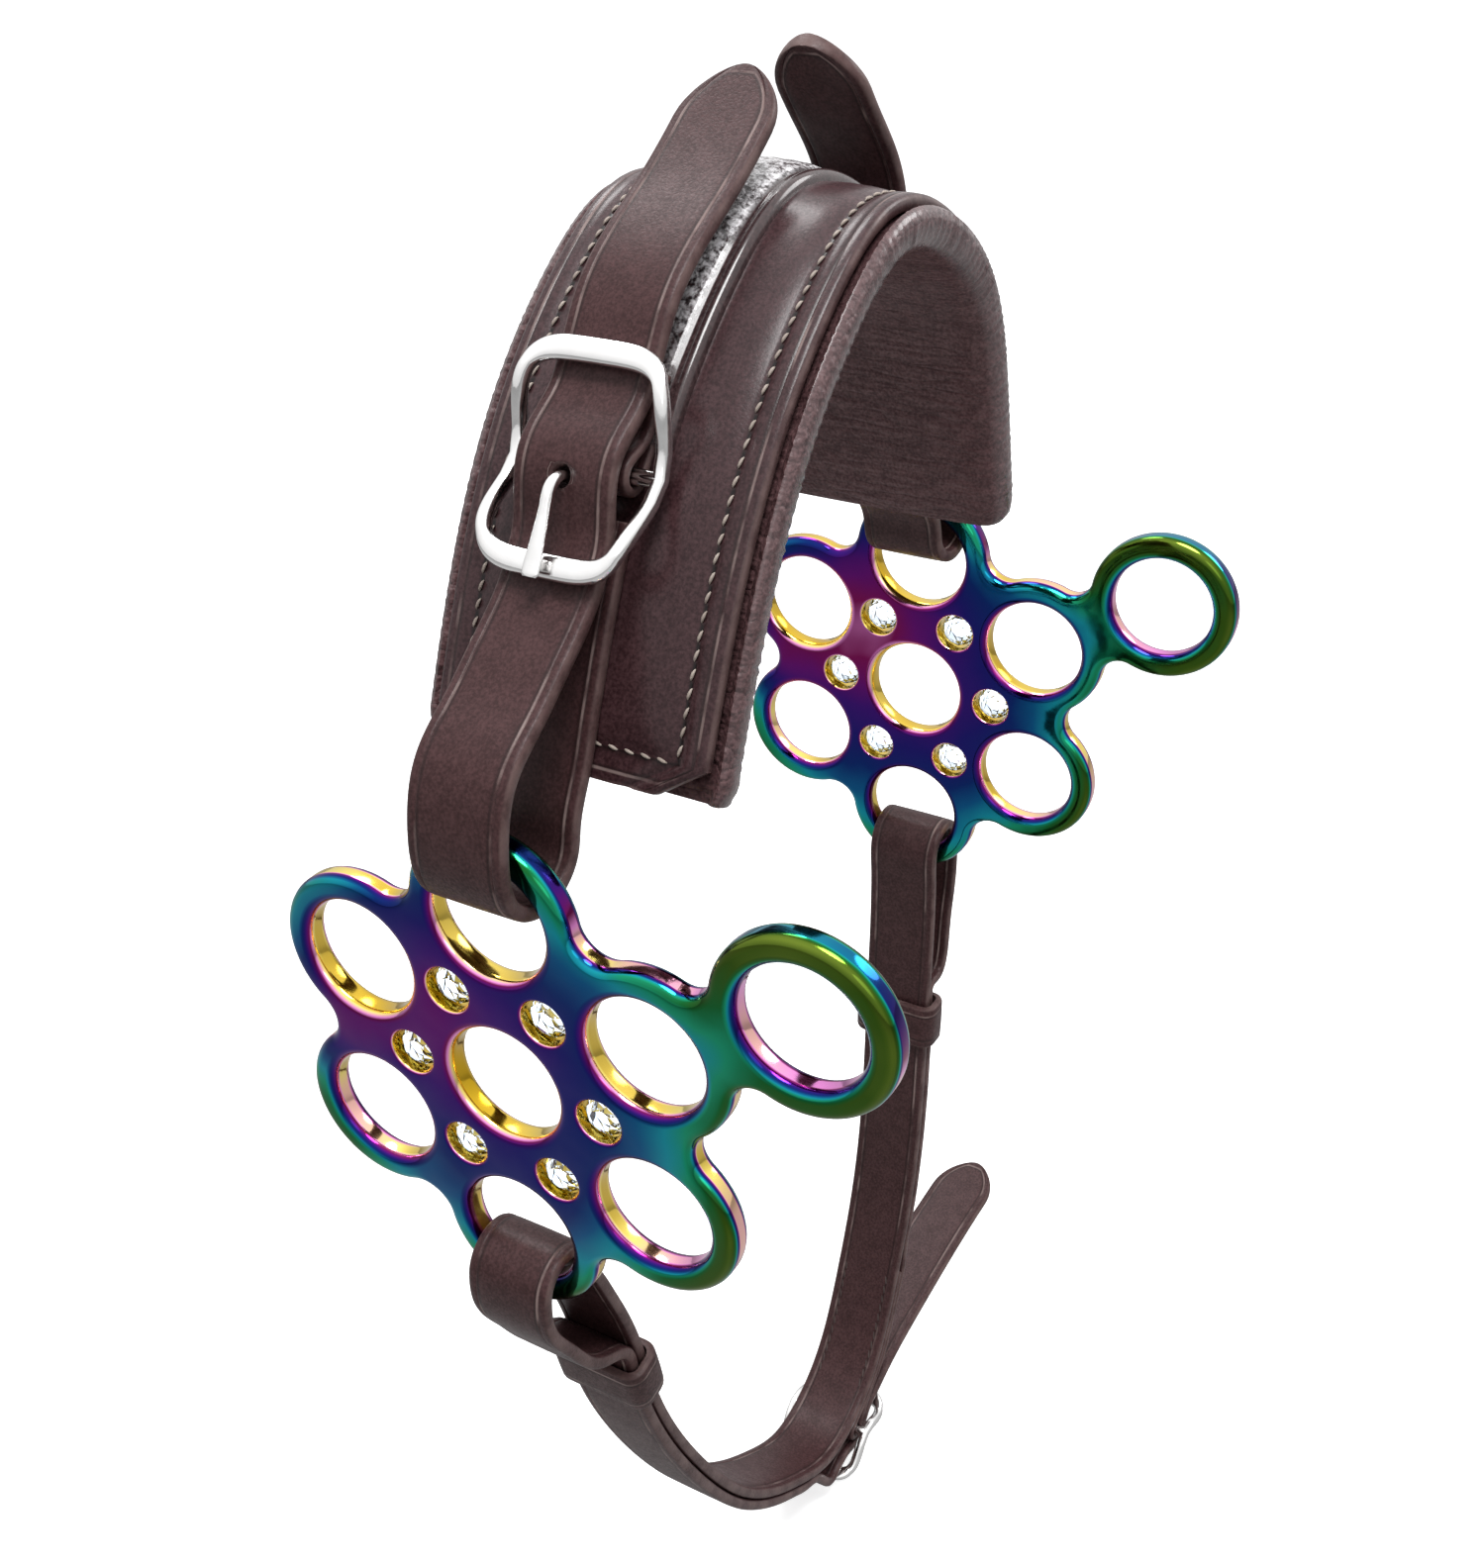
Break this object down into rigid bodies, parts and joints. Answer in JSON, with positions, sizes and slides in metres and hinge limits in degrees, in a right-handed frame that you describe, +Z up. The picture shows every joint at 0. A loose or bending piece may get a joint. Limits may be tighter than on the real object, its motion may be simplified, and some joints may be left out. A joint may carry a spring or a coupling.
{
  "type": "hackamore",
  "caption": "Bitless bridle noseband: padded leather over the nose, flower shaped ring plates at the cheeks set with clear stones, and a buckled curb strap under the chin.",
  "frame": {"origin": "middle of the nose seat: the underside of the lining at the crown of the arch", "axes": "+Z up from the chin to the nose, +X to the plate with the curb strap's buckle on its side, the shanks point to -Y"},
  "size_m": [0.2373, 0.1276, 0.4049],
  "materials": {
    "bridle_leather": "smooth dark brown bridle leather",
    "lining_leather": "soft dark brown leather",
    "crinkled_leather": "crinkled dark brown leather",
    "foam": "foam",
    "nickel": "bright nickel",
    "rainbow_coat": "polished steel with an oil-slick rainbow coat",
    "crystal": "clear cut crystal"
  },
  "bodies": {
    "noseband": {"noseband_shell": "bridle_leather", "noseband_padding": "foam", "noseband_lining": "lining_leather", "crown_strip": "crinkled_leather", "hanger_strap_left": "bridle_leather", "hanger_strap_right": "bridle_leather", "buckle_chape_left": "bridle_leather", "buckle_chape_right": "bridle_leather"},
    "cheek_left": {"cheek_plate_left": "rainbow_coat", "crystal_left_1": "crystal", "crystal_left_2": "crystal", "crystal_left_3": "crystal", "crystal_left_4": "crystal", "crystal_left_5": "crystal", "crystal_left_6": "crystal"},
    "cheek_right": {"cheek_plate_right": "rainbow_coat", "crystal_right_1": "crystal", "crystal_right_2": "crystal", "crystal_right_3": "crystal", "crystal_right_4": "crystal", "crystal_right_5": "crystal", "crystal_right_6": "crystal"},
    "curb": {"curb_strap": "bridle_leather"},
    "keeper_left": {"curb_keeper_left": "bridle_leather"},
    "keeper_right": {"curb_keeper_right": "bridle_leather"},
    "buckle_left": {"buckle_frame_left": "nickel"},
    "buckle_right": {"buckle_frame_right": "nickel"},
    "buckle_curb": {"curb_buckle_frame": "nickel"},
    "tongue_left": {"buckle_tongue_left": "nickel"},
    "tongue_right": {"buckle_tongue_right": "nickel"},
    "tongue_curb": {"curb_buckle_tongue": "nickel"}
  },
  "joints": [
    {"name": "cheek_left_swing", "type": "hinge", "parent": "noseband", "child": "cheek_left", "pos_m": [-0.089, 0.003, -0.095], "axis": [1, 0, 0], "range_deg": [-20, 30]},
    {"name": "cheek_right_swing", "type": "hinge", "parent": "noseband", "child": "cheek_right", "pos_m": [0.089, 0.003, -0.095], "axis": [1, 0, 0], "range_deg": [-20, 30]},
    {"name": "curb_swing", "type": "hinge", "parent": "cheek_left", "child": "curb", "pos_m": [-0.089, 0.003, -0.167], "axis": [1, 0, 0], "range_deg": [-30, 30]},
    {"name": "keeper_left_slide", "type": "slide", "parent": "curb", "child": "keeper_left", "axis": [-0.2276, 0, 0.9738], "range_m": [-0.003, 0.003]},
    {"name": "keeper_right_slide", "type": "slide", "parent": "curb", "child": "keeper_right", "axis": [-0.0465, 0, -0.9989], "range_m": [-0.003, 0.003]},
    {"name": "buckle_left_turn", "type": "hinge", "parent": "noseband", "child": "buckle_left", "pos_m": [-0.05193, 0.003, -0.02508], "axis": [0, 1, 0], "range_deg": [-2, 2]},
    {"name": "buckle_right_turn", "type": "hinge", "parent": "noseband", "child": "buckle_right", "pos_m": [0.05813, 0.003, -0.03179], "axis": [0, -1, 0], "range_deg": [-2, 2]},
    {"name": "buckle_curb_turn", "type": "hinge", "parent": "curb", "child": "buckle_curb", "pos_m": [0.04093, 0.003, -0.35728], "axis": [0, -1, 0], "range_deg": [-2, 2]},
    {"name": "tongue_left_lift", "type": "hinge", "parent": "buckle_left", "child": "tongue_left", "pos_m": [-0.05193, 0.003, -0.02508], "axis": [0, 1, 0], "range_deg": [0, 4]},
    {"name": "tongue_right_lift", "type": "hinge", "parent": "buckle_right", "child": "tongue_right", "pos_m": [0.05813, 0.003, -0.03179], "axis": [0, -1, 0], "range_deg": [0, 4]},
    {"name": "tongue_curb_lift", "type": "hinge", "parent": "buckle_curb", "child": "tongue_curb", "pos_m": [0.04093, 0.003, -0.35728], "axis": [0, -1, 0], "range_deg": [0, 4]}
  ],
  "couplings": [
    {"joint": "cheek_right_swing", "follows": "cheek_left_swing", "ratio": 1}
  ]
}
